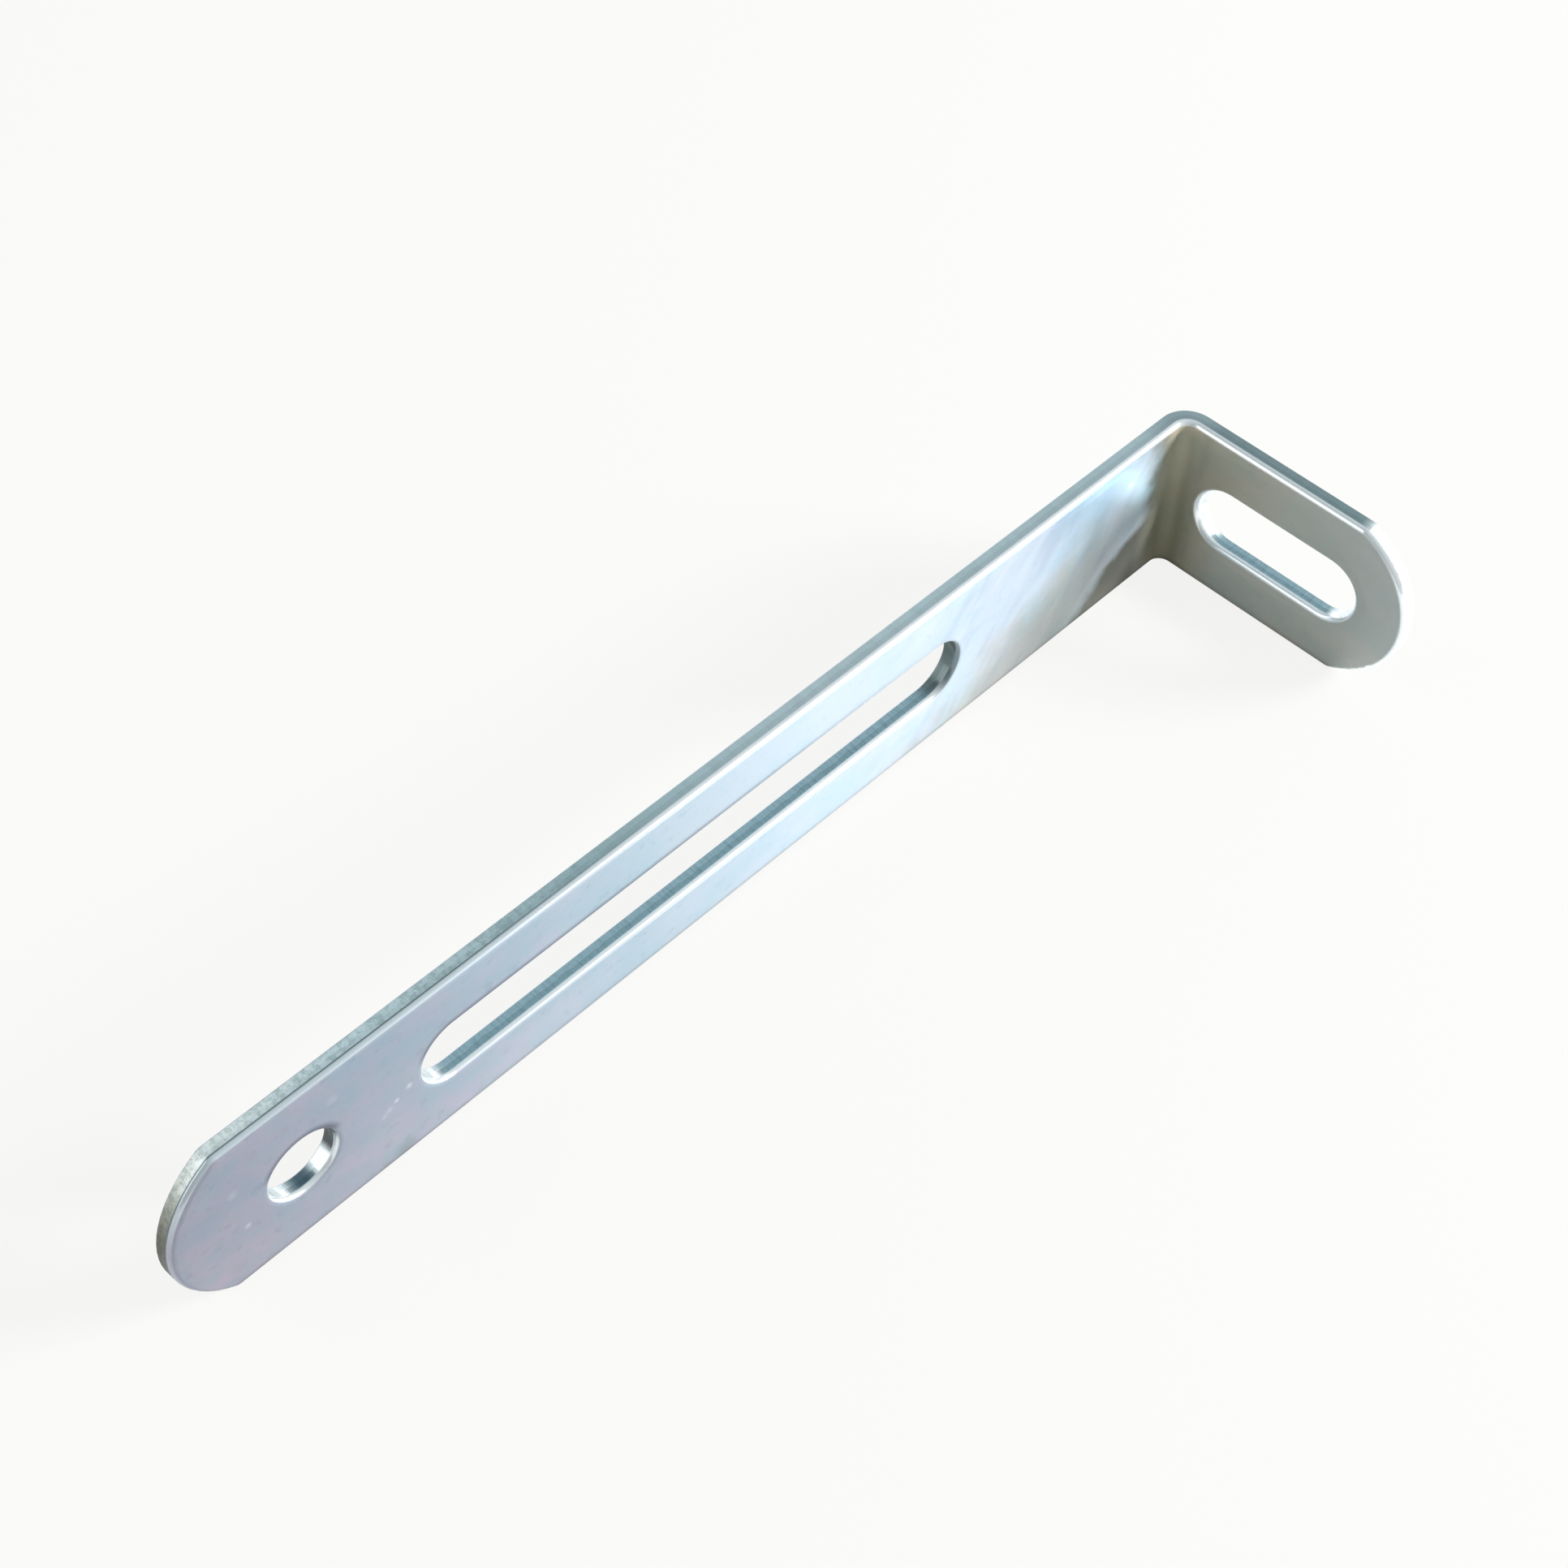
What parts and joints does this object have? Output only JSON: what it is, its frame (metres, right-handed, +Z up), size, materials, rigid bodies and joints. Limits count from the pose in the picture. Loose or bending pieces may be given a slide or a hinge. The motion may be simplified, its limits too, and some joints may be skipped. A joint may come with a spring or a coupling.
{
  "type": "slotted angle bracket",
  "caption": "Bent flat-bar angle bracket with a long and a short leg, crowned tips, a round bolt hole and an obround adjustment slot along each leg.",
  "frame": {"origin": "middle of the footprint, on the surface that the bracket's lower side edge stands on", "axes": "+X runs along the long leg from the bend to its tip, +Y runs along the short leg from the bend to its tip, +Z runs up across the width of the strip"},
  "size_m": [0.2, 0.047, 0.03],
  "materials": {
    "zinc_plated_steel": "bright zinc plating on cold-worked steel, smooth on the flat faces and streaked on the sheared edges"
  },
  "bodies": {
    "root": {"angle_bracket": "zinc_plated_steel"}
  },
  "joints": []
}
